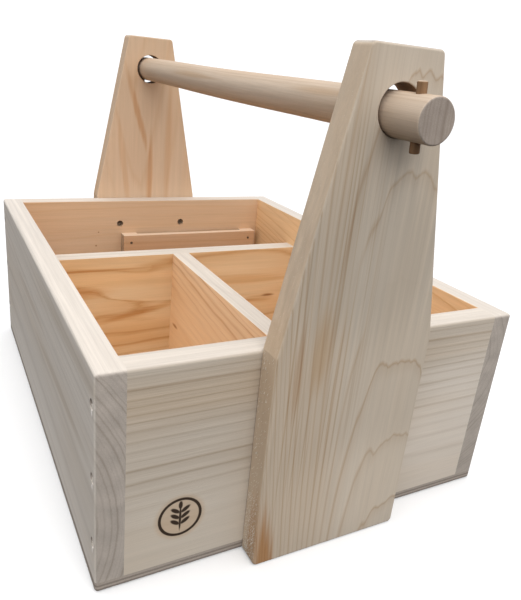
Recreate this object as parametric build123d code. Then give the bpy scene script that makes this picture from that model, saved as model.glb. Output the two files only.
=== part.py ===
from build123d import *
import os
from math import asin, degrees

# A beekeeper's open wooden tool carrier: a box of softwood boards on a plywood base, divided
# into three compartments, with two tapered uprights that hold a loose round bar as its handle.
# Millimetres. X across the box, Y along the handle with the front at -Y, Z up.
# The origin is on the resting plane, below the middle of the box.

# ---- the box ----
BOX_WIDTH = 340.0
BOX_LENGTH = 436.0
BOARD = 19.0                # planed thickness of every board
BASE_THICKNESS = 8.0        # plywood
RIM_HEIGHT = 163.0
OUTER_EASE = 2.5            # rounding of the outer edges
INNER_EASE = 1.0            # rounding of the rim's inner edges

# ---- dividers ----
DIVIDER_TOP = 127.0
CROSS_DIVIDER_FRONT = 93.5  # Y of the cross divider's front face
CENTRE_DIVIDER_X = 1.0      # middle of the long divider, a little off the box's middle
DIVIDER_EASE = 0.8

# ---- uprights and handle ----
UPRIGHT_WIDTH = 126.0
UPRIGHT_TOP_WIDTH = 52.0
SHOULDER_HEIGHT = 165.0     # where the taper starts
UPRIGHT_HEIGHT = 351.0
UPRIGHT_CORNER = 3.5        # rounding of the outline's corners
UPRIGHT_EASE = 1.5
HOLE_RADIUS = 15.5
HOLE_HEIGHT = 316.0
HOLE_EASE = 0.8
BAR_FRONT_RADIUS = 13.1
BAR_BACK_RADIUS = 12.7      # the bar is a little thinner towards the back
BAR_GAP = 0.3               # between the resting bar and the bottom of the front hole
BAR_LIFT = 2.0              # how much higher the bar lies in the back hole
BAR_HALF_LENGTH = 268.0
BAR_SAG = 0.9               # bow of the bar's middle
BAR_SECTIONS = 8            # lengths that the bowed middle is built from
BAR_END_EASE = 1.2
BAR_ROLL = -5.0             # degrees about +Y that the bar lies rolled
PIN_RADIUS = 3.0
PIN_CLEARANCE = 0.05        # radial, in the bar's cross holes
PIN_HALF_LENGTH = 19.5
PIN_Y = 253.0
PIN_EASE = 0.8

# ---- slat across the back wall, which holds hive tools upright ----
SLAT_LEFT = -38.0
SLAT_RIGHT = 143.0
SLAT_TOP = 122.5
SLAT_HEIGHT = 34.0
SLAT_THICKNESS = 7.0
SPACER_WIDTH = 19.0
SPACER_THICKNESS = 6.0
SLAT_EASE = 0.6

# ---- fasteners: (length, head radius, shank radius, how deep the head is sunk) ----
CORNER_SCREW = (42.0, 3.8, 1.9, 1.6)
UPRIGHT_SCREW = (29.0, 3.8, 2.0, 5.5)
BASE_SCREW = (34.0, 3.4, 1.7, 0.4)
SLAT_NAIL = (17.0, 1.5, 0.8, 0.3)
CORNER_SCREW_HEIGHTS = (36.5, 87.0, 139.5)
CORNER_SCREW_INSET = 7.0    # from the box's front or back face
UPRIGHT_SCREW_X = 39.5
UPRIGHT_SCREW_HEIGHTS = (45.0, 134.5)
NAIL_HEIGHTS = (96.0, 113.0)
BASE_SCREW_Y = (-150.0, 0.0, 150.0)     # along each side board
BASE_SCREW_X = (-90.0, 90.0)            # along the front, back and cross boards
CENTRE_SCREW_Y = (-130.0, 20.0)         # along the centre divider
HEAD_EDGE = 0.4             # height of a head's cylindrical rim
TIP_LENGTH = 3.0
FIT = 0.1                   # gap between a fastener and its hole
RECESS = (0.9, 1.4)         # width and depth of the cross recess in a head
RECESS_SPAN = 1.2           # its length as a share of the head's radius

# ---- modelling ----
NEAR = 0.1                  # how close a point must be to count as lying on a face
BEYOND = 500.0              # past every face of the box

# ---- derived places ----
HALF_W = BOX_WIDTH / 2
HALF_L = BOX_LENGTH / 2
INNER_W = BOX_WIDTH - 2 * BOARD
INNER_L = BOX_LENGTH - 2 * BOARD
CROSS_DIVIDER_Y = CROSS_DIVIDER_FRONT + BOARD / 2
BACK_WALL = HALF_L - BOARD
UPRIGHT_MIDDLE = HALF_L + BOARD / 2
BAR_FRONT_HEIGHT = HOLE_HEIGHT - HOLE_RADIUS + BAR_FRONT_RADIUS + BAR_GAP
BAR_HEIGHT = BAR_FRONT_HEIGHT + BAR_LIFT / 2
BAR_TILT = degrees(asin(BAR_LIFT / (2 * UPRIGHT_MIDDLE)))
BAR_PLACE = Pos(0, 0, BAR_HEIGHT) * Rotation(BAR_TILT, 0, 0)    # the bar is built along Y
PIN_TILT = Rotation(0, BAR_ROLL, 0)


def block(x0, x1, y0, y1, z0, z1):
    """A box between two corners."""
    centre = ((x0 + x1) / 2, (y0 + y1) / 2, (z0 + z1) / 2)
    return Pos(*centre) * Box(x1 - x0, y1 - y0, z1 - z0)


def edges_near(shape, axis, test):
    """The straight edges along an axis whose middle passes a test."""
    return [edge for edge in shape.edges().filter_by(axis) if test(edge.center())]


# ---------------------------------------------------------------- fasteners
def countersunk(length, head, shank, rim):
    """A fastener about Z with its head's top at z = 0 and its tip at -length."""
    cone = rim + head - shank
    outline = [(0, 0), (head, 0), (head, -rim), (shank, -cone), (shank, TIP_LENGTH - length), (0, -length)]
    return revolve(Plane.XZ * make_face(Polyline(*outline, close=True)), Axis.Z)


def screw(kind):
    length, head, shank, sink = kind
    body = countersunk(length, head, shank, HEAD_EDGE)
    width, depth = RECESS
    for turn in (0, 90):
        body -= Rotation(0, 0, turn) * Pos(0, 0, -depth / 2) * Box(RECESS_SPAN * head, width, depth)
    return Pos(0, 0, -sink) * body


def nail(kind):
    length, head, shank, sink = kind
    return Pos(0, 0, -sink) * countersunk(length, head, shank, HEAD_EDGE)


def pocket(kind):
    """The hole that a fastener of this kind sits in, open at the surface z = 0."""
    length, head, shank, sink = kind
    hole = countersunk(length + FIT, head + FIT, shank + FIT, HEAD_EDGE)
    mouth = Pos(0, 0, 1) * Cylinder(head + FIT, 2 * (sink + 1))
    return Pos(0, 0, -sink) * hole + mouth


def aimed(point, direction):
    """The place of a fastener whose head is at a point and whose tip points along a direction."""
    return Plane(origin=point, z_dir=(-direction[0], -direction[1], -direction[2])).location


def corner_places(side, end):
    """Screws through a side board into the end of the front or back board."""
    y = end * (HALF_L - CORNER_SCREW_INSET)
    return [aimed((side * HALF_W, y, z), (-side, 0, 0)) for z in CORNER_SCREW_HEIGHTS]


def upright_places(end):
    """Screws from inside the box through the front or back board into its upright."""
    y = end * (HALF_L - BOARD)
    return [
        aimed((side * UPRIGHT_SCREW_X, y, z), (0, end, 0))
        for side in (-1, 1)
        for z in UPRIGHT_SCREW_HEIGHTS
    ]


def base_places():
    """Screws up through the base into the four walls."""
    side_x = HALF_W - BOARD / 2
    end_y = HALF_L - BOARD / 2
    along_sides = [(side * side_x, y) for side in (-1, 1) for y in BASE_SCREW_Y]
    along_ends = [(x, end * end_y) for end in (-1, 1) for x in BASE_SCREW_X]
    return [aimed((x, y, 0), (0, 0, 1)) for x, y in along_sides + along_ends]


def divider_places():
    """Screws up through the base into the two dividers."""
    cross = [(x, CROSS_DIVIDER_Y) for x in BASE_SCREW_X]
    centre = [(CENTRE_DIVIDER_X, y) for y in CENTRE_SCREW_Y]
    return [aimed((x, y, 0), (0, 0, 1)) for x, y in cross + centre]


def nail_places():
    """Nails through the slat and its spacers into the back board."""
    face = BACK_WALL - SPACER_THICKNESS - SLAT_THICKNESS
    ends = (SLAT_LEFT + SPACER_WIDTH / 2, SLAT_RIGHT - SPACER_WIDTH / 2)
    return [aimed((x, face, z), (0, 1, 0)) for x in ends for z in NAIL_HEIGHTS]


ENDS = {"front": -1, "back": 1}
SIDES = {"left": -1, "right": 1}
GROUPS = {
    f"{end}_{side}_corner_screws": (CORNER_SCREW, corner_places(SIDES[side], ENDS[end]))
    for end in ENDS
    for side in SIDES
}
GROUPS["front_upright_screws"] = (UPRIGHT_SCREW, upright_places(-1))
GROUPS["back_upright_screws"] = (UPRIGHT_SCREW, upright_places(1))
GROUPS["base_screws"] = (BASE_SCREW, base_places())
GROUPS["divider_screws"] = (BASE_SCREW, divider_places())
GROUPS["slat_nails"] = (SLAT_NAIL, nail_places())


def drilled(shape, *groups):
    """A board with the pockets of the named groups of fasteners cut into it."""
    for name in groups:
        kind, places = GROUPS[name]
        shape -= [place * pocket(kind) for place in places]
    return shape


def fasteners(name):
    kind, places = GROUPS[name]
    make = nail if kind is SLAT_NAIL else screw
    return Compound(children=[place * make(kind) for place in places])


# ---------------------------------------------------------------- the box
def eased_shell():
    """The joined walls and base, with the edges rounded as they are after assembly."""
    shell = block(-HALF_W, HALF_W, -HALF_L, HALF_L, 0, RIM_HEIGHT)
    shell -= block(-INNER_W / 2, INNER_W / 2, -INNER_L / 2, INNER_L / 2, BASE_THICKNESS, RIM_HEIGHT + 1)

    def outer(centre):
        return abs(abs(centre.X) - HALF_W) < NEAR or abs(abs(centre.Y) - HALF_L) < NEAR

    corners = edges_near(shell, Axis.Z, outer)
    level = [edge for axis in (Axis.X, Axis.Y) for edge in edges_near(shell, axis, outer)]
    shell = fillet(corners + level, OUTER_EASE)

    def rim(centre):
        return abs(centre.Z - RIM_HEIGHT) < NEAR and not outer(centre)

    inner = [
        edge
        for axis in (Axis.X, Axis.Y)
        for edge in edges_near(shell, axis, rim)
        if abs(edge.center().X) < INNER_W / 2 + NEAR and abs(edge.center().Y) < INNER_L / 2 + NEAR
    ]
    return fillet(inner, INNER_EASE)


def eased_dividers():
    """The cross divider and the centre divider as one T, with rounded top edges."""
    half = BOARD / 2
    front, back = CROSS_DIVIDER_FRONT, CROSS_DIVIDER_FRONT + BOARD
    left, right = CENTRE_DIVIDER_X - half, CENTRE_DIVIDER_X + half
    cross = block(-INNER_W / 2, INNER_W / 2, front, back, BASE_THICKNESS, DIVIDER_TOP)
    centre = block(left, right, -INNER_L / 2, front, BASE_THICKNESS, DIVIDER_TOP)
    tee = cross + centre

    def top(middle):
        inside = abs(middle.X) < INNER_W / 2 - NEAR and middle.Y > -INNER_L / 2 + NEAR
        return inside and abs(middle.Z - DIVIDER_TOP) < NEAR

    long_edges = [edge for axis in (Axis.X, Axis.Y) for edge in edges_near(tee, axis, top)]
    return fillet(long_edges, DIVIDER_EASE)


def box_boards():
    """The base, the four walls and the two dividers, by node name."""
    shell = eased_shell()
    tee = eased_dividers()
    big = BEYOND
    boards = {}
    base = shell & block(-big, big, -big, big, -1, BASE_THICKNESS)
    boards["base_panel"] = drilled(base, "base_screws", "divider_screws")
    for side, sign in SIDES.items():
        inner, outer = sorted((sign * INNER_W / 2, sign * big))
        board = shell & block(inner, outer, -big, big, BASE_THICKNESS, big)
        corners = [f"{end}_{side}_corner_screws" for end in ENDS]
        boards[f"{side}_side_board"] = drilled(board, "base_screws", *corners)
    for end, sign in ENDS.items():
        inner, outer = sorted((sign * INNER_L / 2, sign * big))
        board = shell & block(-INNER_W / 2, INNER_W / 2, inner, outer, BASE_THICKNESS, big)
        corners = [f"{end}_{side}_corner_screws" for side in SIDES]
        boards[f"{end}_board"] = drilled(board, "base_screws", f"{end}_upright_screws", *corners)
    boards["back_board"] = drilled(boards["back_board"], "slat_nails")
    cross = tee & block(-big, big, CROSS_DIVIDER_FRONT, big, 0, big)
    centre = tee & block(-big, big, -big, CROSS_DIVIDER_FRONT, 0, big)
    boards["cross_divider"] = drilled(cross, "divider_screws")
    boards["centre_divider"] = drilled(centre, "divider_screws")
    return boards


# ---------------------------------------------------------------- uprights and handle
def upright(end):
    """A tapered board outside the front (-1) or back (1) wall, with the bar's hole near its top."""
    low, high = UPRIGHT_WIDTH / 2, UPRIGHT_TOP_WIDTH / 2
    right = [(low, 0), (low, SHOULDER_HEIGHT), (high, UPRIGHT_HEIGHT)]
    left = [(-x, z) for x, z in reversed(right)]
    outline = make_face(Polyline(*right, *left, close=True))

    def end_corner(vertex):
        return abs(vertex.Y) < NEAR or abs(vertex.Y - UPRIGHT_HEIGHT) < NEAR

    outline = fillet([v for v in outline.vertices() if end_corner(v)], UPRIGHT_CORNER)
    y = sorted((end * HALF_L, end * (HALF_L + BOARD)))
    board = extrude(Plane(origin=(0, y[1], 0), x_dir=(1, 0, 0), z_dir=(0, -1, 0)) * outline, BOARD)
    faces = board.faces().filter_by(Axis.Y)
    board = fillet([edge for face in faces for edge in face.edges()], UPRIGHT_EASE)
    hole = Rotation(90, 0, 0) * Cylinder(HOLE_RADIUS, 2 * BOARD)
    board -= Pos(0, end * UPRIGHT_MIDDLE, HOLE_HEIGHT) * hole
    circles = board.edges().filter_by(GeomType.CIRCLE)
    board = fillet([edge for edge in circles if abs(edge.radius - HOLE_RADIUS) < NEAR], HOLE_EASE)
    name = "front_upright_screws" if end < 0 else "back_upright_screws"
    return drilled(board, name)


def handle_bar():
    """The round bar: straight where it passes the holes and pins, bowed between them."""
    straight = HALF_L - 2 * BOARD
    middle = (BAR_FRONT_RADIUS + BAR_BACK_RADIUS) / 2
    taper = (BAR_BACK_RADIUS - BAR_FRONT_RADIUS) / 2
    sections = []
    for step in range(BAR_SECTIONS + 1):
        share = 2 * step / BAR_SECTIONS - 1
        bow = BAR_SAG * (1 - share * share) ** 2
        plane = Plane(origin=(0, share * straight, -bow), x_dir=(1, 0, 0), z_dir=(0, 1, 0))
        sections.append(plane * Circle(middle + taper * share))
    bar = loft(sections)
    length = BAR_HALF_LENGTH - straight
    for sign, radius in ((-1, BAR_FRONT_RADIUS), (1, BAR_BACK_RADIUS)):
        tail = Rotation(90, 0, 0) * Cylinder(radius, length)
        rims = [e for e in tail.edges().filter_by(GeomType.CIRCLE) if sign * e.center().Y > 0]
        bar += Pos(0, sign * (straight + length / 2), 0) * fillet(rims, BAR_END_EASE)
    for sign in (-1, 1):
        hole = Cylinder(PIN_RADIUS + PIN_CLEARANCE, 4 * BAR_FRONT_RADIUS)
        bar -= Pos(0, sign * PIN_Y, 0) * PIN_TILT * hole
    return BAR_PLACE * bar


def retaining_pin(end):
    """A short wooden peg across one end of the bar."""
    pin = Cylinder(PIN_RADIUS, 2 * PIN_HALF_LENGTH)
    pin = fillet(pin.edges().filter_by(GeomType.CIRCLE), PIN_EASE)
    return BAR_PLACE * Pos(0, end * PIN_Y, 0) * PIN_TILT * pin


# ---------------------------------------------------------------- tool slat
def tool_slat():
    face = BACK_WALL - SPACER_THICKNESS
    slat = block(SLAT_LEFT, SLAT_RIGHT, face - SLAT_THICKNESS, face, SLAT_TOP - SLAT_HEIGHT, SLAT_TOP)
    front = slat.faces().sort_by(Axis.Y)[0]
    return drilled(fillet(front.edges(), SLAT_EASE), "slat_nails")


def slat_spacer(side):
    x0 = SLAT_LEFT if side < 0 else SLAT_RIGHT - SPACER_WIDTH
    spacer = block(
        x0, x0 + SPACER_WIDTH, BACK_WALL - SPACER_THICKNESS, BACK_WALL, SLAT_TOP - SLAT_HEIGHT, SLAT_TOP
    )
    return drilled(spacer, "slat_nails")


# ---------------------------------------------------------------- all nodes
parts = box_boards()
for end, sign in ENDS.items():
    parts[f"{end}_upright"] = upright(sign)
    parts[f"{end}_retaining_pin"] = retaining_pin(sign)
parts["handle_bar"] = handle_bar()
parts["tool_slat"] = tool_slat()
for side, sign in SIDES.items():
    parts[f"{side}_slat_spacer"] = slat_spacer(sign)
for name in GROUPS:
    parts[name] = fasteners(name)

os.makedirs("parts", exist_ok=True)
for node, shape in parts.items():
    export_step(shape, f"parts/{node}.step")
print(len(parts), "nodes")
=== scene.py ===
import math
import random

import bpy
from mathutils import Matrix, Vector


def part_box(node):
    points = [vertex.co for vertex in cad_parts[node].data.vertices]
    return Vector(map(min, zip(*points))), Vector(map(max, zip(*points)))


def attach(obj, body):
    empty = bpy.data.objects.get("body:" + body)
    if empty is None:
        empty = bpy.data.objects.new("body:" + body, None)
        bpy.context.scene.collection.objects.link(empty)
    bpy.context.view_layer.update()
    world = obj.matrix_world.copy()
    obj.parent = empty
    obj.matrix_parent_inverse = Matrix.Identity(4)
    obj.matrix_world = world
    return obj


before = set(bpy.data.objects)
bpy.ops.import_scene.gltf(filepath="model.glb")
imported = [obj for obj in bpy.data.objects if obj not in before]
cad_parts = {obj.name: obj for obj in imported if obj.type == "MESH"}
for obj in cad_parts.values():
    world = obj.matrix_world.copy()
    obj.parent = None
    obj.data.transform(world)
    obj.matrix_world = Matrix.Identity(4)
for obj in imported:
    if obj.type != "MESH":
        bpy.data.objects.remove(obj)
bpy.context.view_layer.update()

# Looks for the wooden tool carrier. Metres, in the CAD model's frame: X across the box, Y along
# the handle with the front at -Y, Z up. Every board has its own solid wood, made in that frame, so
# its faces, edges and end grain agree with each other.

CAMERA_PLACE = Vector((-0.2405, -0.5185, 0.3322))
CAMERA_AHEAD = Vector((0.46400, 0.80909, -0.36066))
CAMERA_ROLL = 5.90          # degrees
CAMERA_LENS = 36.12         # mm, on a 36 mm long side

BOX = {name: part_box(name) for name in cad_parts}
SCREWS = [name for name in BOX if name.endswith("screws")]
CORNER_SCREWS = [name for name in SCREWS if name.endswith("corner_screws")]
SCREW_ROWS = (0.0365, 0.0870, 0.1395)      # heights of the corner screws
HOLE = (0.0, 0.316, 0.0155)                # x, z and radius of the bar's holes
SIDE_FACE = BOX["right_side_board"][1].x   # outer face of the side boards, from the middle
RIM = BOX["front_board"][1].z
DIVIDER_RIM = BOX["cross_divider"][1].z
BASE_THICK = BOX["base_panel"][1].z
MARK = (-0.113, 0.045)                     # x and z of the burnt mark's middle
MARK_RING, MARK_LINE = 0.0146, 0.0011      # the mark's radius and half its line's width


# ---------------------------------------------------------------- node graphs
class Graph:
    """A material's node tree, with short calls for the nodes that the looks below use."""

    def __init__(self, name):
        self.material = bpy.data.materials.new(name)
        self.material.use_nodes = True
        self.tree = self.material.node_tree
        self.tree.nodes.clear()
        self.out = self.add("ShaderNodeOutputMaterial")
        coords = self.add("ShaderNodeTexCoord")
        self.point = coords.outputs["Object"]
        self.normal = coords.outputs["Normal"]

    def add(self, kind, **settings):
        node = self.tree.nodes.new(kind)
        for key, value in settings.items():
            setattr(node, key, value)
        return node

    def join(self, value, socket):
        """Links a socket or sets a constant."""
        if isinstance(value, bpy.types.NodeSocket):
            self.tree.links.new(value, socket)
        else:
            socket.default_value = value

    def math(self, operation, *values):
        node = self.add("ShaderNodeMath", operation=operation)
        for value, socket in zip(values, node.inputs):
            self.join(value, socket)
        return node.outputs[0]

    def hypot(self, a, b):
        squares = self.math("ADD", self.math("MULTIPLY", a, a), self.math("MULTIPLY", b, b))
        return self.math("SQRT", squares)

    def vector(self, x, y, z):
        node = self.add("ShaderNodeCombineXYZ")
        for value, socket in zip((x, y, z), node.inputs):
            self.join(value, socket)
        return node.outputs[0]

    def split(self, vector):
        node = self.add("ShaderNodeSeparateXYZ")
        self.join(vector, node.inputs[0])
        return dict(zip("XYZ", node.outputs))

    def noise(self, vector, scale=1.0, detail=2.0, roughness=0.5):
        """Noise from 0 to 1, mostly near a half."""
        node = self.add("ShaderNodeTexNoise")
        self.join(vector, node.inputs["Vector"])
        node.inputs["Scale"].default_value = scale
        node.inputs["Detail"].default_value = detail
        node.inputs["Roughness"].default_value = roughness
        return node.outputs[0]

    def noise_1d(self, value, detail=0.0):
        node = self.add("ShaderNodeTexNoise", noise_dimensions="1D")
        self.join(value, node.inputs["W"])
        node.inputs["Scale"].default_value = 1.0
        node.inputs["Detail"].default_value = detail
        return node.outputs[0]

    def smooth(self, value, low, high, to_low=0.0, to_high=1.0):
        """A smooth step from low to high."""
        node = self.add("ShaderNodeMapRange", interpolation_type="SMOOTHSTEP")
        self.join(value, node.inputs["Value"])
        limits = {"From Min": low, "From Max": high, "To Min": to_low, "To Max": to_high}
        for socket, number in limits.items():
            self.join(number, node.inputs[socket])
        return node.outputs[0]

    def curve(self, value, *points):
        """A ramp through (place, height) points."""
        node = self.add("ShaderNodeValToRGB")
        self.join(value, node.inputs[0])
        stops = node.color_ramp.elements
        while len(stops) < len(points):
            stops.new(0.5)
        for stop, (place, height) in zip(stops, points):
            stop.position = place
            stop.color = (height, height, height, 1)
        return node.outputs[0]

    def mix(self, amount, first, second, blend="MIX"):
        node = self.add("ShaderNodeMix", data_type="RGBA", blend_type=blend)
        self.join(amount, node.inputs["Factor"])
        for value, socket in ((first, node.inputs[6]), (second, node.inputs[7])):
            self.join((*value, 1) if isinstance(value, tuple) else value, socket)
        return node.outputs[2]

    def scaled(self, colour, amount):
        node = self.add("ShaderNodeVectorMath", operation="SCALE")
        self.join(colour, node.inputs[0])
        self.join(amount, node.inputs["Scale"])
        return node.outputs[0]

    def bump(self, height, depth, strength):
        node = self.add("ShaderNodeBump")
        self.join(height, node.inputs["Height"])
        node.inputs["Strength"].default_value = strength
        node.inputs["Distance"].default_value = depth
        return node.outputs[0]

    def surface(self, colour, roughness, normal=None, metallic=0.0):
        node = self.add("ShaderNodeBsdfPrincipled")
        self.join(colour, node.inputs["Base Color"])
        self.join(roughness, node.inputs["Roughness"])
        node.inputs["Metallic"].default_value = metallic
        node.inputs["Specular IOR Level"].default_value = 0.3
        if normal is not None:
            self.join(normal, node.inputs["Normal"])
        self.join(node.outputs[0], self.out.inputs["Surface"])
        return self.material


# ---------------------------------------------------------------- wood
# A board's axes are its grain, its width and its depth. Rings are either round ones about a pith
# line, or arches: nested points along the grain on a flat-sawn face, close together at one side.

RELIEF = 0.00035      # how far the grain stands out

# Noise in the wood: cells per metre across and along the grain, detail and roughness.
FIBRES = (1500, 24, 3.0, 0.6)
STREAKS = (240, 5, 2.0, 0.5)
CLOUDS = (26, 4, 2.0, 0.5)
THREADS = (520, 3, 2.0, 0.5)
SAW_MARKS = (330, 6, 3.0, 0.6)


def stretched(g, along, across, deep, seed, fine, long):
    """A noise's coordinates, finer across the grain than along it."""
    return g.vector(
        g.math("MULTIPLY_ADD", across, fine, seed),
        g.math("MULTIPLY", deep, fine),
        g.math("MULTIPLY", along, long),
    )


def round_rings(g, along, across, deep, w):
    """Rings counted outwards, and how far apart they are."""
    lean = w.get("lean", (0, 0))
    u = g.math("SUBTRACT", across, g.math("MULTIPLY_ADD", along, lean[0], w["pith"][0]))
    v = g.math("SUBTRACT", deep, g.math("MULTIPLY_ADD", along, lean[1], w["pith"][1]))
    return g.math("DIVIDE", g.hypot(u, v), w["ring"]), w["ring"]


def arched_rings(g, along, across, deep, w):
    """Arches counted along the grain, and how far apart they are at each place."""
    middle, drift, slope, cube, step, depth = w["arch"]
    u = g.math("ABSOLUTE", g.math("SUBTRACT", across, g.math("MULTIPLY_ADD", along, drift, middle)))
    square = g.math("MULTIPLY", u, u)
    side = g.math("MULTIPLY", u, g.math("MULTIPLY_ADD", square, cube, slope))
    phase = g.math("MULTIPLY_ADD", deep, 1 / depth, g.math("MULTIPLY_ADD", along, 1 / step, side))
    rise = g.math("MULTIPLY_ADD", square, 3 * cube, slope)
    steep = g.math("SQRT", g.math("MULTIPLY_ADD", rise, rise, 1 / step ** 2))
    return phase, g.math("DIVIDE", 1.0, steep)


def late_wood(g, along, across, deep, w):
    """How much late wood there is at a point, from 0 to 1."""
    seed = w["seed"]
    phase, spacing = (arched_rings if "arch" in w else round_rings)(g, along, across, deep, w)
    for amount, fine, long in w["wander"]:
        wave = g.noise(stretched(g, along, across, deep, seed, fine, long), detail=1.0)
        phase = g.math("MULTIPLY_ADD", wave, amount, phase)
    spread = g.noise_1d(g.math("MULTIPLY_ADD", phase, 0.31, seed), 1.0)
    phase = g.math("MULTIPLY_ADD", spread, w.get("uneven", 1.6), phase)
    gap = g.math("MULTIPLY", g.math("SUBTRACT", 1.0, g.math("FRACT", phase)), spacing)
    either = g.math("MINIMUM", gap, g.math("SUBTRACT", spacing, gap))
    line = w.get("line", 0.0012)
    narrow = g.math("MINIMUM", line, g.math("MULTIPLY", spacing, 0.24)) if "arch" in w else line
    sharp, soft = g.smooth(either, narrow, 0.0, 0.0, 0.7), g.smooth(gap, line * 5, 0.0, 0.0, 0.3)
    own = g.noise_1d(g.math("MULTIPLY_ADD", g.math("ROUND", phase), 7.31, seed + 0.5))
    own = g.smooth(own, 0.3, 0.7, w.get("faint", 0.35), 1.0)
    late = g.math("MULTIPLY", g.math("ADD", sharp, soft), own)
    for centre, radii, left in w.get("calm", ()):
        late = g.math("MULTIPLY", late, g.smooth(blob(g, centre, radii), 0.7, 1.3, left, 1.0))
    return late


def blob(g, centre, radii, wobble=0.0, turn=0.0):
    """How far out a point is from an ellipsoid's centre: 1 is on the ellipsoid. The wobble, a
    noise, makes it uneven, and the turn is about Y."""
    node = g.add("ShaderNodeMapping", vector_type="TEXTURE")
    g.join(g.point, node.inputs[0])
    node.inputs["Location"].default_value = centre
    node.inputs["Rotation"].default_value = (0, turn, 0)
    node.inputs["Scale"].default_value = radii
    length = g.add("ShaderNodeVectorMath", operation="LENGTH")
    g.join(node.outputs[0], length.inputs[0])
    return g.math("ADD", length.outputs["Value"], wobble)


def wood(name, **w):
    """A board's solid wood. Lengths are in metres and places are in the row's frame.

    axes: the axes of the grain, the width and the depth
    pith, lean, ring: round rings, by the pith line's place and slope and the rings' spacing
    arch: arched rings instead, by (middle, drift, slope, cube, step, depth)
    seed, wander, uneven: where the noise starts, how rings wander and how they differ in width
    line, faint: how wide a ring's dark line is, and how strong the faintest one is
    calm: [(centre, radii, share)], places where that share of the rings' strength is left
    early, late, contrast: a ring's two colours, and how far it goes to the second
    warm, cloudy: the tint of soft clouds and its strength
    fibre: the strength of the fine fibres
    edges: the share of the rings' strength that is left on the narrow faces
    other: (axis, sign, early, late), two other colours for the faces on that side, which paint
    bounce light: warmer inside the box, paler outside
    threads: (centre, radii, tint, cut), a place with fine dark lines
    patches: [(centre, radii, tint, amount, turn)], tinted places, where the turn may be left out
    end, end_late: the end grain's two colours
    top: (level, colour, amount), a painted highlight that makes upper faces above that level paler,
    with saw marks
    finish: a last step of the board's own, such as the burnt mark
    """
    g = Graph(name)
    place, normal = g.split(g.point), g.split(g.normal)
    along, across, deep = (place[axis] for axis in w["axes"])
    grain, width = (g.math("ABSOLUTE", normal[axis]) for axis in w["axes"][:2])
    on_face = g.smooth(width, 0.5, 0.9, 1.0, w.get("edges", 1.0))
    late = g.math("MULTIPLY", late_wood(g, along, across, deep, w), on_face)

    def noise(fine, long, detail, roughness):
        vector = stretched(g, along, across, deep, w["seed"], fine, long)
        return g.noise(vector, detail=detail, roughness=roughness)

    fibre, streaks, clouds = noise(*FIBRES), noise(*STREAKS), noise(*CLOUDS)
    early, dark, warm = w["early"], w["late"], w["warm"]
    # Painted bounce light: faces on one side take their own two colours, warmer inside the box and
    # paler outside.
    if "other" in w:
        axis, sign, other_early, other_dark = w["other"]
        inside = g.smooth(g.math("MULTIPLY", normal[axis], sign), 0.4, 0.8)
        early, dark = g.mix(inside, early, other_early), g.mix(inside, dark, other_dark)
    colour = g.mix(g.math("MULTIPLY", late, w.get("contrast", 0.8)), early, dark)
    colour = g.mix(g.smooth(clouds, 0.38, 0.7, 0.0, w.get("cloudy", 0.5)), colour, warm, "MULTIPLY")
    if "threads" in w:
        centre, radii, tint, cut = w["threads"]
        thin = g.math("MULTIPLY", g.smooth(noise(*THREADS), cut, cut + 0.14), on_face)
        inside = g.smooth(blob(g, centre, radii, g.math("MULTIPLY", clouds, 0.5)), 1.5, 0.8)
        colour = g.mix(g.math("MULTIPLY", inside, thin), colour, tint, "MULTIPLY")
    for centre, radii, tint, amount, *turn in w.get("patches", ()):
        away = blob(g, centre, radii, g.math("MULTIPLY", streaks, 0.9), *turn)
        inside = g.smooth(away, 1.45, 0.75)
        colour = g.mix(g.math("MULTIPLY", inside, amount), colour, tint, "MULTIPLY")
    strength = w.get("fibre", 0.22)
    tone = g.math("MULTIPLY_ADD", fibre, strength, 1 - strength / 2)
    tone = g.math("MULTIPLY", tone, g.math("MULTIPLY_ADD", streaks, 0.16, 0.92))
    colour = g.scaled(colour, tone)

    end_on = g.smooth(grain, 0.55, 0.9)
    pores = g.noise(g.point, scale=2200, detail=2.0)
    mottle = g.math("MULTIPLY_ADD", g.noise(g.point, scale=70, detail=3.0), 0.5, 0.55)
    end_colour = g.mix(g.math("MULTIPLY", late, 0.55), w["end"], w["end_late"])
    end_colour = g.scaled(end_colour, g.math("MULTIPLY_ADD", pores, 0.4, mottle))
    colour = g.mix(end_on, colour, end_colour)
    # Painted highlight: upper faces are paler, as if lit from above, with saw marks in them.
    if "top" in w:
        level, tint, amount = w["top"]
        above = g.math("GREATER_THAN", place["Z"], level)
        top_highlight_mask = g.math("MULTIPLY", g.smooth(normal["Z"], 0.3, 0.95), above)
        sawn = g.math("MULTIPLY", tone, g.math("MULTIPLY_ADD", noise(*SAW_MARKS), 0.55, 0.72))
        colour = g.mix(g.math("MULTIPLY", top_highlight_mask, amount), colour, g.scaled(tint, sawn))
    if "finish" in w:
        colour = w["finish"](g, colour, place, normal)

    grain_height = g.math("MULTIPLY_ADD", late, 0.5, g.math("MULTIPLY", fibre, 0.9))
    end_height = g.math("MULTIPLY_ADD", late, 0.5, pores)
    height = g.add("ShaderNodeMix", data_type="FLOAT")
    for value, socket in ((end_on, 0), (grain_height, 2), (end_height, 3)):
        g.join(value, height.inputs[socket])
    rough = g.math("MULTIPLY_ADD", fibre, 0.2, 0.55)
    return g.surface(colour, rough, g.bump(height.outputs[0], RELIEF, 0.55))


def dress(material, *nodes):
    """Gives CAD nodes a material."""
    for name in nodes:
        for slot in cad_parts[name].material_slots:
            slot.link = "OBJECT"
            slot.material = material


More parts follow.
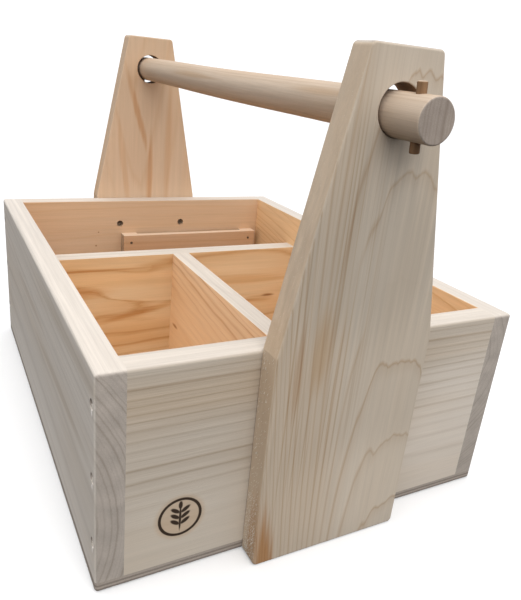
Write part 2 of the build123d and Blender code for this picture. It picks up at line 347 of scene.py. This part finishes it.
def burnt_sprig(g, colour, place, normal):
    """A plain burnt-in ring with a leafy sprig, on the front face."""
    x, z = MARK
    radius = g.hypot(g.math("SUBTRACT", place["X"], x), g.math("SUBTRACT", place["Z"], z))
    ring = g.math("ABSOLUTE", g.math("SUBTRACT", radius, MARK_RING))
    nearest = g.math("DIVIDE", ring, MARK_LINE)
    # The stem, three pairs of leaves and the bud: place, half width, half height and turn.
    leaves = [(0.0, -0.001, 0.0009, 0.0105, 0.0)]
    for step in range(3):
        rise = -0.0055 + 0.0048 * step
        for side in (-1, 1):
            leaves.append((side * 0.0036, rise + 0.0018, 0.0016, 0.0040, side * 0.95))
    leaves.append((0.0, 0.0098, 0.0015, 0.0034, 0.0))
    for dx, dz, wide, tall, turn in leaves:
        centre = (x + dx, BOX["front_board"][0].y, z + dz)
        nearest = g.math("MINIMUM", nearest, blob(g, centre, (wide, 0.02, tall), turn=turn))
    wobble = g.noise(g.point, scale=500, detail=2.0)
    nearest = g.math("MULTIPLY_ADD", wobble, 0.12, nearest)
    front = g.smooth(normal["Y"], -0.6, -0.9)
    burn = g.math("MULTIPLY", g.smooth(nearest, 1.25, 0.8), front)
    halo = g.math("MULTIPLY", g.smooth(radius, 0.0200, 0.0150), front)
    colour = g.mix(g.math("MULTIPLY", halo, 0.5), colour, (0.86, 0.66, 0.46), "MULTIPLY")
    return g.mix(g.math("MULTIPLY", burn, 0.97), colour, (0.028, 0.015, 0.009))


def bore_painted_shade(g, colour, place, normal):
    """Painted shade: the wall of the bar's hole, darker and warmer than the face round it."""
    x, z, radius = HOLE
    away = g.hypot(g.math("SUBTRACT", place["X"], x), g.math("SUBTRACT", place["Z"], z))
    near = g.smooth(away, radius + 0.001, radius + 0.0004)
    sideways = g.smooth(g.math("ABSOLUTE", normal["Y"]), 0.6, 0.3)
    return g.mix(g.math("MULTIPLY", near, sideways), colour, (0.50, 0.35, 0.24), "MULTIPLY")


def torn_side(g, colour, place, normal):
    """Pale torn grain on the sawn left edge of the front upright, thickest near its foot, and
    painted shade on the wall of the bar's hole.
    """
    specks = g.noise(g.point, scale=900, detail=3.0, roughness=0.7)
    low = g.smooth(place["Z"], 0.075, 0.01)
    edge = g.smooth(normal["X"], -0.7, -0.95)
    cut = g.math("MULTIPLY_ADD", low, -0.10, 0.66)
    torn = g.math("MULTIPLY", g.smooth(specks, cut, g.math("ADD", cut, 0.05)), edge)
    # Painted shade on the wall of the bar's hole.
    colour = bore_painted_shade(g, colour, place, normal)
    colour = g.mix(g.math("MULTIPLY", edge, 0.9), colour, (1.02, 0.94, 0.85), "MULTIPLY")
    return g.mix(g.math("MULTIPLY", torn, 0.8), colour, (0.80, 0.74, 0.64))


def plies(g, colour, place, normal):
    """The edges of plywood: thin veneers, the crossed ones darker, with a dark middle."""
    edge = g.smooth(g.math("ABSOLUTE", normal["Z"]), 0.8, 0.4)
    height = g.math("MULTIPLY_ADD", g.noise(g.point, scale=120), 0.0005, place["Z"])
    veneers = g.curve(
        g.math("DIVIDE", height, BASE_THICK), (0.0, 0.8), (0.2, 0.9), (0.22, 0.62), (0.4, 0.66),
        (0.42, 0.95), (0.58, 0.9), (0.6, 0.55), (0.78, 0.62), (0.8, 0.9), (1.0, 0.85),
    )
    grain = g.noise(g.point, scale=1400, detail=2.0)
    veneers = g.math("MULTIPLY", veneers, g.math("MULTIPLY_ADD", grain, 0.5, 0.75))
    return g.mix(edge, colour, g.scaled((0.50, 0.425, 0.36), veneers))


# How rings wander: how far, in rings, and the noise's cells per metre across and along the grain.
STRAIGHT = ((2.0, 14, 3), (0.35, 90, 16), (0.12, 700, 30))
WAVY = ((2.2, 14, 5), (0.7, 60, 12), (0.12, 500, 30))
PLAIN = dict(
    warm=(0.95, 0.90, 0.84), end=(0.50, 0.44, 0.385), end_late=(0.27, 0.22, 0.175), wander=STRAIGHT,
)
HONEY = dict(
    early=(0.74, 0.515, 0.31), late=(0.50, 0.28, 0.12), warm=(0.95, 0.84, 0.70),
    end=(0.48, 0.36, 0.25), end_late=(0.30, 0.21, 0.14), wander=STRAIGHT,
)
# Painted bounce light: the boards' inside faces are warmer than their outside ones, which are
# paler.
INSIDE_PAINTED_BOUNCE = ((0.86, 0.59, 0.335), (0.60, 0.33, 0.13))
OUTSIDE_WITHOUT_BOUNCE = ((0.60, 0.53, 0.44), (0.38, 0.29, 0.20))
# Painted highlight on upper edges, paler as if lit from above, with saw marks: the height that they
# start at, their colour and its strength.
RIM_TOP_HIGHLIGHT = (RIM - 0.004, (0.66, 0.595, 0.525), 0.8)
DIVIDER_TOP_HIGHLIGHT = (DIVIDER_RIM - 0.003, (0.68, 0.63, 0.565), 0.85)


def stains(name, heads, radius, tint):
    """Soft stains round fastener heads, two columns and two rows, in the face that they enter."""
    low, high = BOX[name]
    return [
        ((x, low.y, z), (radius, 0.003, radius), tint, 0.9)
        for x in (low.x + heads, high.x - heads) for z in (low.z + heads, high.z - heads)
    ]


def torn_lips_and_highlight(side):
    """Pale torn wood below each screw hole of one side board, made paler still by a painted
    highlight on the hole's lit lower lip.
    """
    lips = []
    for name in (name for name in CORNER_SCREWS if side in name):
        low, high = BOX[name]
        face, y = math.copysign(SIDE_FACE, low.x), (low.y + high.y) / 2
        lips += [
            ((face, y, z - 0.0056), (0.004, 0.0022, 0.0032), (1.45, 1.50, 1.60), 1.0)
            for z in SCREW_ROWS
        ]
    return lips


dress(wood(
    "side_left", axes="YZX", pith=(0.062, -0.300), lean=(0.05, 0.0), ring=0.0034, seed=3.1,
    contrast=0.32, line=0.0010, early=(0.72, 0.655, 0.58), late=(0.44, 0.38, 0.32), top=RIM_TOP_HIGHLIGHT,
    other=("X", 1, *INSIDE_PAINTED_BOUNCE), patches=[
        ((-0.17, -0.18, 0.150), (0.03, 0.22, 0.010), (0.86, 0.83, 0.79), 0.8),
        ((-0.17, -0.10, 0.092), (0.03, 0.13, 0.006), (0.86, 0.83, 0.79), 0.8),
        ((-0.17, 0.05, 0.112), (0.03, 0.10, 0.008), (0.90, 0.87, 0.84), 0.8),
        # Painted bounce light from the floor: the low part of the board is lighter.
        ((-0.17, 0.00, 0.020), (0.03, 0.40, 0.040), (1.10, 1.11, 1.12), 0.8),
        # Torn wood below the screw holes, with a painted highlight.
        *torn_lips_and_highlight("left"),
    ], **PLAIN
), "left_side_board")
dress(wood(
    "side_right", axes="YZX", arch=(0.160, 0.16, 60, 9000, 0.4, 0.006), seed=8.4, contrast=0.6,
    line=0.0013, early=(0.60, 0.54, 0.47), late=(0.40, 0.33, 0.26), top=RIM_TOP_HIGHLIGHT,
    other=("X", -1, *INSIDE_PAINTED_BOUNCE),
    **{**PLAIN, "wander": ((1.2, 20, 5), (0.3, 90, 16))}
), "right_side_board")
dress(wood(
    "end_front", axes="XZY", pith=(0.020, -0.106), ring=0.0044, seed=1.7, contrast=0.72,
    line=0.0010, uneven=0.9, faint=0.3, calm=[
        ((-0.10, -0.218, 0.030), (0.16, 0.05, 0.040), 0.25),
        ((0.12, -0.218, 0.045), (0.09, 0.05, 0.05), 0.45),
    ],
    early=(0.605, 0.53, 0.44), late=(0.37, 0.285, 0.20), top=RIM_TOP_HIGHLIGHT, other=("Y", 1, *INSIDE_PAINTED_BOUNCE),
    finish=burnt_sprig, patches=[
        ((-0.09, -0.218, 0.140), (0.30, 0.05, 0.020), (0.95, 0.88, 0.79), 0.6),
        # Painted light: the right part of the face is lighter, as if more lit.
        ((0.14, -0.218, 0.060), (0.12, 0.05, 0.12), (1.30, 1.33, 1.39), 1.0),
        # Painted bounce light from the floor: the low left part is lighter.
        ((-0.10, -0.218, 0.025), (0.12, 0.05, 0.06), (1.10, 1.11, 1.12), 1.0),
    ],
    **{**PLAIN, "wander": ((0.8, 14, 2), (0.16, 90, 10), (0.10, 700, 30))}
), "front_board")
dress(wood(
    "end_back", axes="XZY", pith=(0.060, 0.330), ring=0.0050, seed=5.9, contrast=0.35,
    top=RIM_TOP_HIGHLIGHT, other=("Y", 1, *OUTSIDE_WITHOUT_BOUNCE), patches=[
        ((-0.066, 0.199, 0.1245), (0.0012, 0.003, 0.0012), (0.55, 0.42, 0.32), 1.0),
        ((-0.069, 0.199, 0.1075), (0.0016, 0.003, 0.0016), (0.5, 0.36, 0.26), 1.0),
        *stains("back_upright_screws", 0.0045, 0.0040, (0.55, 0.33, 0.22)),
    ], **{**HONEY, "early": (0.665, 0.475, 0.32)}
), "back_board")
dress(wood(
    "divider_cross", axes="XZY", arch=(0.078, 0.03, 12, 7000, 0.5, 0.02), seed=2.2, contrast=0.9,
    line=0.0060, faint=0.5, cloudy=0.9, top=DIVIDER_TOP_HIGHLIGHT, patches=[
        ((-0.090, 0.0935, 0.1125), (0.090, 0.004, 0.0022), (0.80, 0.66, 0.50), 0.8),
        ((-0.125, 0.0935, 0.087), (0.060, 0.004, 0.009), (0.87, 0.73, 0.57), 0.8),
        ((-0.045, 0.0935, 0.060), (0.080, 0.004, 0.005), (0.84, 0.68, 0.50), 0.8, -0.20),
        ((0.085, 0.0935, 0.089), (0.090, 0.004, 0.009), (0.86, 0.72, 0.56), 0.8),
        ((0.060, 0.0935, 0.060), (0.060, 0.004, 0.005), (0.84, 0.68, 0.50), 0.8),
        ((0.120, 0.0935, 0.066), (0.014, 0.004, 0.0025), (0.40, 0.25, 0.14), 0.9),
        ((-0.010, 0.0935, 0.104), (0.16, 0.004, 0.007), (1.12, 1.14, 1.18), 0.8),
    ],
    **{**HONEY, "early": (0.735, 0.55, 0.345), "late": (0.52, 0.30, 0.125), "wander": WAVY}
), "cross_divider")
dress(wood(
    "divider_centre", axes="YZX", pith=(0.020, 0.060), lean=(0.10, 0.0), ring=0.0066, seed=6.3,
    contrast=0.85, line=0.0018, top=DIVIDER_TOP_HIGHLIGHT,
    calm=[((-0.0085, 0.00, 0.035), (0.05, 0.40, 0.055), 0.3)], patches=[
        ((-0.0085, 0.00, 0.040), (0.01, 0.30, 0.055), (1.06, 1.06, 1.06), 0.8),
        ((-0.0085, 0.077, 0.045), (0.004, 0.012, 0.003), (0.50, 0.34, 0.22), 0.9),
    ],
    **{**HONEY, "early": (0.90, 0.69, 0.465), "late": (0.60, 0.36, 0.185),
       "wander": ((2.0, 14, 4), (0.8, 70, 16), (0.2, 400, 30))}
), "centre_divider")
dress(wood(
    "upright_front", axes="ZXY", arch=(0.058, -0.13, 5, 11500, 0.062, 0.02894), seed=4.4,
    contrast=0.66, faint=0.5, early=(0.605, 0.52, 0.42), late=(0.42, 0.285, 0.17), line=0.0022,
    uneven=0.6, edges=0.1, finish=torn_side,
    calm=[((0.020, -0.237, 0.205), (0.042, 0.05, 0.036), 0.1)],
    threads=((-0.035, -0.237, 0.190), (0.042, 0.06, 0.17), (0.84, 0.765, 0.68), 0.52),
    patches=[
        # Painted shadow of the bar: the middle of the face below it is darker.
        ((0.000, -0.237, 0.225), (0.10, 0.05, 0.075), (0.86, 0.865, 0.87), 1.0),
        # Painted bounce light from the floor: the low part is lighter.
        ((0.020, -0.237, 0.045), (0.10, 0.05, 0.060), (1.12, 1.12, 1.12), 1.0),
        ((-0.030, -0.237, 0.165), (0.010, 0.03, 0.045), (0.88, 0.76, 0.62), 0.8),
        ((-0.046, -0.237, 0.150), (0.005, 0.03, 0.045), (0.80, 0.66, 0.54), 0.6),
        ((-0.054, -0.237, -0.006), (0.011, 0.03, 0.072), (0.76, 0.50, 0.30), 1.0, -0.10),
        ((-0.062, -0.230, 0.235), (0.006, 0.03, 0.15), (0.90, 0.82, 0.72), 0.5),
    ],
    **{**PLAIN, "wander": ((0.35, 24, 3), (0.55, 80, 5), (0.09, 260, 10))}
), "front_upright")
dress(wood(
    "upright_back", axes="ZXY", arch=(0.010, -0.1, 25, 2000, -0.12, 0.030), seed=7.2, contrast=0.3,
    # Its finish paints shade on the wall of the bar's hole.
    line=0.0050, edges=0.3, cloudy=0.8, finish=bore_painted_shade, other=("Y", 1, *OUTSIDE_WITHOUT_BOUNCE),
    # Painted highlight on the upper faces.
    top=(BOX["back_upright"][1].z - 0.003, (0.66, 0.58, 0.49), 0.6), patches=[
        ((0.003, 0.218, 0.190), (0.006, 0.03, 0.065), (0.86, 0.68, 0.52), 0.9),
        ((-0.013, 0.218, 0.262), (0.005, 0.03, 0.055), (0.86, 0.68, 0.52), 0.9, -0.29),
        ((-0.030, 0.218, 0.200), (0.005, 0.03, 0.080), (0.94, 0.84, 0.74), 0.8, -0.15),
        ((0.026, 0.218, 0.230), (0.006, 0.03, 0.110), (0.94, 0.84, 0.74), 0.8),
    ],
    **{**HONEY, "early": (0.65, 0.47, 0.32), "late": (0.52, 0.30, 0.145),
       "wander": ((0.6, 20, 3), (0.2, 90, 6))}
), "back_upright")
dress(wood(
    "bar_wood", axes="YXZ", pith=(0.160, 0.320), ring=0.0030, seed=9.5, contrast=0.6,
    early=(0.60, 0.48, 0.37), late=(0.40, 0.28, 0.18), fibre=0.4, cloudy=1.0, patches=[
        ((0.0, -0.245, 0.330), (0.006, 0.030, 0.010), (0.88, 0.80, 0.70), 0.7),
        ((-0.010, -0.170, 0.320), (0.004, 0.060, 0.004), (0.84, 0.74, 0.62), 0.8),
        ((-0.011, 0.060, 0.318), (0.004, 0.080, 0.004), (0.86, 0.76, 0.64), 0.8),
        ((-0.008, 0.180, 0.312), (0.006, 0.040, 0.006), (0.84, 0.76, 0.66), 0.8),
    ], **{**PLAIN, "end": (0.40, 0.335, 0.285), "end_late": (0.20, 0.15, 0.115)}
), "handle_bar")
dress(wood(
    "pin_wood", axes="ZXY", pith=(0.040, 0.020), ring=0.0016, seed=9.9,
    early=(0.30, 0.175, 0.09), late=(0.18, 0.095, 0.045), **{**PLAIN, "end": (0.66, 0.51, 0.38)}
), "front_retaining_pin", "back_retaining_pin")
dress(wood(
    "slat_wood", axes="XZY", pith=(0.180, 0.250), ring=0.0045, seed=2.9, contrast=0.4,
    # Painted highlight on the upper faces.
    top=(BOX["tool_slat"][1].z - 0.002, (0.80, 0.62, 0.46), 0.8),
    patches=stains("slat_nails", 0.0015, 0.0022, (0.52, 0.36, 0.26)),
    **{**HONEY, "early": (0.61, 0.385, 0.235)}
), "tool_slat", "left_slat_spacer", "right_slat_spacer")
dress(wood(
    "base_ply", axes="YXZ", pith=(0.020, -0.300), ring=0.0060, seed=5.1, early=(0.80, 0.62, 0.43),
    late=(0.62, 0.44, 0.27), finish=plies, **PLAIN
), "base_panel")


def steel(name, tint):
    g = Graph(name)
    spots = g.noise(g.point, scale=900, detail=3.0)
    colour = g.mix(g.smooth(spots, 0.45, 0.7), tint, (0.10, 0.07, 0.05))
    return g.surface(colour, g.math("MULTIPLY_ADD", spots, 0.3, 0.3), metallic=0.9)


dress(steel("screw_steel", (0.30, 0.28, 0.25)), *SCREWS)
dress(steel("nail_steel", (0.16, 0.12, 0.09)), "slat_nails")


# ---------------------------------------------------------------- torn fibres
def slivers(name, material, places):
    """Thin pointed splinters as one mesh. Each place is a middle, a long half axis, a side half
    axis and a thick half axis."""
    vertices, faces = [], []
    for middle, long, side, thick in places:
        first = len(vertices)
        for axis in (long, side, thick):
            vertices += [middle + axis, middle - axis]
        for end in (0, 1):
            for a, b in ((2, 4), (4, 3), (3, 5), (5, 2)):
                faces.append([first + end, first + (b if end else a), first + (a if end else b)])
    mesh = bpy.data.meshes.new(name)
    mesh.from_pydata(vertices, [], faces)
    mesh.materials.append(material)
    piece = bpy.data.objects.new(name, mesh)
    bpy.context.collection.objects.link(piece)
    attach(piece, "carrier")


def torn_fibres(material):
    """Splinters on the front upright's sawn left edge, most near its foot, and in the mouths of the
    corner screws' holes, below the heads."""
    chance = random.Random(12)
    low, high = BOX["front_upright"]
    places = []
    for i in range(300):
        z = chance.uniform(0.003, 0.055) if i < 190 else chance.uniform(0.055, 0.163)
        length, lean = chance.uniform(0.0007, 0.0021), chance.uniform(0.35, 0.75)
        long = Vector((0, -math.sin(lean), math.cos(lean))) * length
        side = Vector((0, math.cos(lean), math.sin(lean))) * chance.uniform(0.00012, 0.00026)
        middle = Vector((low.x, chance.uniform(low.y + 0.003, high.y - 0.002), z))
        places.append((middle, long, side, Vector((0.00022, 0, 0))))
    slivers("front_upright_torn_fibres", material, places)
    places = []
    for name in CORNER_SCREWS:
        low, high = BOX[name]
        head, middle_y = (high.y - low.y) / 2, (low.y + high.y) / 2
        out = Vector((-1 if low.x < 0 else 1, 0, 0))
        face = SIDE_FACE * out.x
        for row in SCREW_ROWS:
            for _ in range(34):
                turn, size = chance.uniform(-1.3, 1.3), chance.uniform(0.16, 0.32) * head
                down = Vector((0, math.sin(turn), -math.cos(turn)))
                reach = chance.uniform(0.25, 0.62) * head
                sunk = chance.uniform(0.0007, 0.0012)
                middle = Vector((face, middle_y, row)) + down * reach - out * sunk
                side = down.cross(out) * chance.uniform(0.0003, 0.0006)
                places.append((middle, (down * 0.9 + out * 0.25) * size, side, out * 0.0002))
    slivers("screw_recess_torn_fibres", material, places)


def pale_fibre():
    g = Graph("pale_fibre")
    tone = g.noise(g.point, scale=700)
    return g.surface(g.mix(tone, (0.95, 0.90, 0.82), (0.70, 0.62, 0.52)), 0.7)


torn_fibres(pale_fibre())


# ---------------------------------------------------------------- studio
def studio_bowl():
    """A pale round floor that curves up into a wall. It takes shadows but throws back no light."""
    flat, bend, wall, turns, steps = 1.7, 0.9, 2.4, 96, 16
    profile = [(0.0, 0.0), (flat, 0.0)]
    profile += [
        (flat + bend * math.sin(a), bend * (1 - math.cos(a)))
        for a in (math.pi / 2 * (i + 1) / steps for i in range(steps))
    ]
    profile.append((flat + bend, wall))
    around = [2 * math.pi * t / turns for t in range(turns)]
    vertices = [(0, 0, 0)]
    for radius, z in profile[1:]:
        vertices += [(radius * math.cos(a), radius * math.sin(a), z) for a in around]
    faces = [(0, 1 + t, 1 + (t + 1) % turns) for t in range(turns)]
    for ring in range(len(profile) - 2):
        a, b = 1 + ring * turns, 1 + (ring + 1) * turns
        faces += [
            (a + t, b + t, b + (t + 1) % turns, a + (t + 1) % turns) for t in range(turns)
        ]
    mesh = bpy.data.meshes.new("studio_bowl")
    mesh.from_pydata(vertices, [], faces)
    mesh.shade_smooth()
    bowl = bpy.data.objects.new("studio_bowl", mesh)
    bpy.context.collection.objects.link(bowl)
    g = Graph("studio_pale")
    upright = g.smooth(g.split(g.normal)["Z"], 1.0, 0.0)
    node = g.add("ShaderNodeBsdfPrincipled")
    node.inputs["Base Color"].default_value = (0.82, 0.82, 0.82, 1)
    node.inputs["Roughness"].default_value = 0.9
    node.inputs["Specular IOR Level"].default_value = 0.1
    node.inputs["Emission Color"].default_value = (1, 1, 1, 1)
    g.join(g.math("MULTIPLY_ADD", upright, 0.55, 0.16), node.inputs["Emission Strength"])
    g.join(node.outputs[0], g.out.inputs["Surface"])
    mesh.materials.append(g.material)
    bowl.visible_diffuse = False
    bowl.visible_glossy = False
    bowl.visible_shadow = False
    bowl.location.z = -0.0003      # clear of the base's own underside


def sky():
    """Overcast light: brightest overhead, dimmer at the horizon and dark below it."""
    world = bpy.data.worlds.new("overcast")
    bpy.context.scene.world = world
    world.use_nodes = True
    tree = world.node_tree
    tree.nodes.clear()
    coords = tree.nodes.new("ShaderNodeTexCoord")
    parts = tree.nodes.new("ShaderNodeSeparateXYZ")
    ramp = tree.nodes.new("ShaderNodeValToRGB")
    lift = tree.nodes.new("ShaderNodeMath")
    lift.operation = "MULTIPLY_ADD"
    lift.inputs[1].default_value = 0.5
    lift.inputs[2].default_value = 0.5
    background = tree.nodes.new("ShaderNodeBackground")
    out = tree.nodes.new("ShaderNodeOutputWorld")
    tree.links.new(coords.outputs["Generated"], parts.inputs[0])
    tree.links.new(parts.outputs["Z"], lift.inputs[0])
    tree.links.new(lift.outputs[0], ramp.inputs[0])
    stops = ramp.color_ramp.elements
    stops[0].position, stops[0].color = 0.47, (0.02, 0.018, 0.016, 1)
    stops[1].position, stops[1].color = 1.0, (1.12, 1.13, 1.15, 1)
    middle = stops.new(0.54)
    middle.color = (0.74, 0.75, 0.78, 1)
    tree.links.new(ramp.outputs[0], background.inputs["Color"])
    background.inputs["Strength"].default_value = 1.1
    tree.links.new(background.outputs[0], out.inputs[0])


def soft_light(name, place, size, power, colour):
    """A round lamp that points at the carrier."""
    light = bpy.data.lights.new(name, "AREA")
    light.shape = "DISK"
    light.size = size
    light.energy = power
    light.color = colour
    lamp = bpy.data.objects.new(name, light)
    lamp.location = place
    lamp.rotation_euler = (-Vector(place)).to_track_quat("-Z", "Y").to_euler()
    bpy.context.collection.objects.link(lamp)


def photo_camera():
    data = bpy.data.cameras.new("camera")
    data.lens = CAMERA_LENS
    data.sensor_width = 36.0
    data.clip_start = 0.01
    camera = bpy.data.objects.new("camera", data)
    turn = CAMERA_AHEAD.to_track_quat("-Z", "Y").to_matrix().to_4x4()
    roll = Matrix.Rotation(math.radians(CAMERA_ROLL), 4, "Z")
    camera.matrix_world = Matrix.Translation(CAMERA_PLACE) @ turn @ roll
    bpy.context.collection.objects.link(camera)
    bpy.context.scene.camera = camera


studio_bowl()
sky()
soft_light("window", (-0.3, -1.6, 1.8), 1.7, 20, (1.0, 0.985, 0.96))
soft_light("skylight", (-0.1, 0.1, 2.4), 1.2, 4.5, (1.0, 0.99, 0.97))
photo_camera()
bpy.context.scene.view_settings.view_transform = "Standard"
